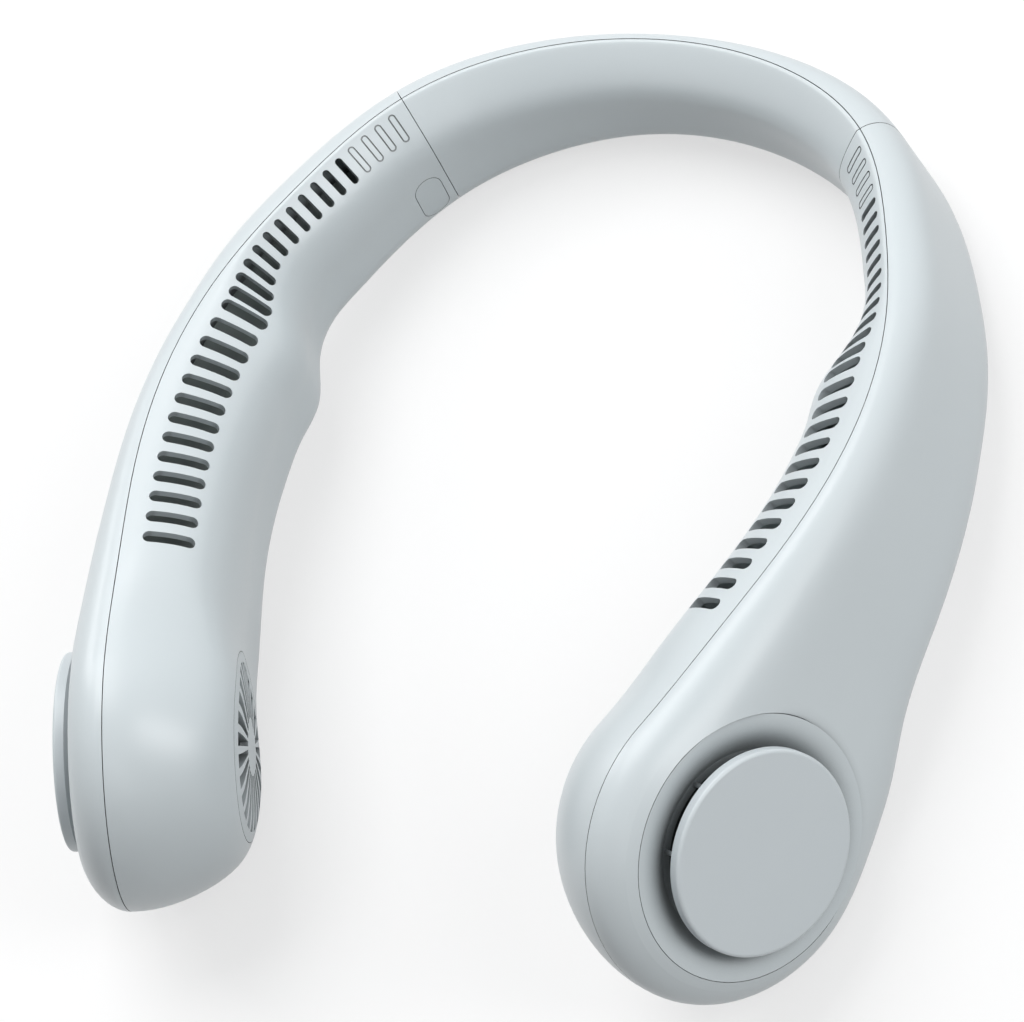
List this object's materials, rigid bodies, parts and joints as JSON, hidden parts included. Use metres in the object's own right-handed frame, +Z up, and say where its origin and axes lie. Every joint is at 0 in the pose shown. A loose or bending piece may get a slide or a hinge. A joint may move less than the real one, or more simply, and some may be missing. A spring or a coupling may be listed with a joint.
{
  "type": "electric neck fan",
  "caption": "Hands-free electric fan worn round the neck: a U-shaped band with hollow arms, slotted air outlets along the neck side and a capped intake with a radial wheel in each end.",
  "frame": {"origin": "middle of the overall box at the level of the surface that the fan lies on", "axes": "+Y towards the rear band, +X towards the right arm, +Z up from the surface that it lies on"},
  "size_m": [0.197, 0.2218, 0.0692],
  "materials": {
    "cover": "satin moulded",
    "dish": "satin moulded",
    "cap": "satin moulded",
    "grille": "satin moulded",
    "key": "satin moulded",
    "wheel": "satin moulded",
    "bell": "zinc plated",
    "magnet": "bonded ferrite",
    "shaft": "ground",
    "bearing": "polished",
    "stator": "varnished",
    "bracket": "moulded",
    "screw": "zinc plated",
    "duct": "moulded",
    "cell": "shrink wrapped",
    "lead": "extruded jacket",
    "sleeve": "moulded",
    "board": "solder mask",
    "switch": "moulded",
    "port": "drawn shell"
  },
  "bodies": {
    "neck_band": {"button_switch": "switch", "control_board": "board", "left_band_sleeve": "sleeve", "left_battery": "cell", "left_bracket_screws": "screw", "left_duct_plate": "duct", "left_inner_cover": "cover", "left_inner_grille": "grille", "left_intake_cap": "cap", "left_intake_dish": "dish", "left_motor_bearings": "bearing", "left_motor_bracket": "bracket", "left_motor_lead": "lead", "left_motor_stator": "stator", "left_outer_cover": "cover", "rear_inner_cover": "cover", "rear_lead": "lead", "rear_outer_cover": "cover", "right_band_sleeve": "sleeve", "right_battery": "cell", "right_bracket_screws": "screw", "right_duct_plate": "duct", "right_inner_cover": "cover", "right_inner_grille": "grille", "right_intake_cap": "cap", "right_intake_dish": "dish", "right_motor_bearings": "bearing", "right_motor_bracket": "bracket", "right_motor_lead": "lead", "right_motor_stator": "stator", "right_outer_cover": "cover", "usb_c_port": "port"},
    "left_wheel": {"left_impeller": "wheel", "left_rotor_bell": "bell", "left_rotor_magnet": "magnet", "left_motor_shaft": "shaft"},
    "right_wheel": {"right_impeller": "wheel", "right_rotor_bell": "bell", "right_rotor_magnet": "magnet", "right_motor_shaft": "shaft"},
    "button": {"power_button": "key"}
  },
  "joints": [
    {"name": "left_impeller_spin", "type": "hinge", "parent": "neck_band", "child": "left_wheel", "pos_m": [-0.07451, -0.07653, 0.03538], "axis": [-0.8983, -0.2807, 0.338], "continuous": true},
    {"name": "right_impeller_spin", "type": "hinge", "parent": "neck_band", "child": "right_wheel", "pos_m": [0.07451, -0.07653, 0.03538], "axis": [0.8983, -0.2807, 0.338], "continuous": true},
    {"name": "power_button_press", "type": "slide", "parent": "neck_band", "child": "button", "axis": [-0.7969, 0.6041, 0.0081], "range_m": [0, 0.0005], "stiffness_N_per_m": 1500}
  ]
}
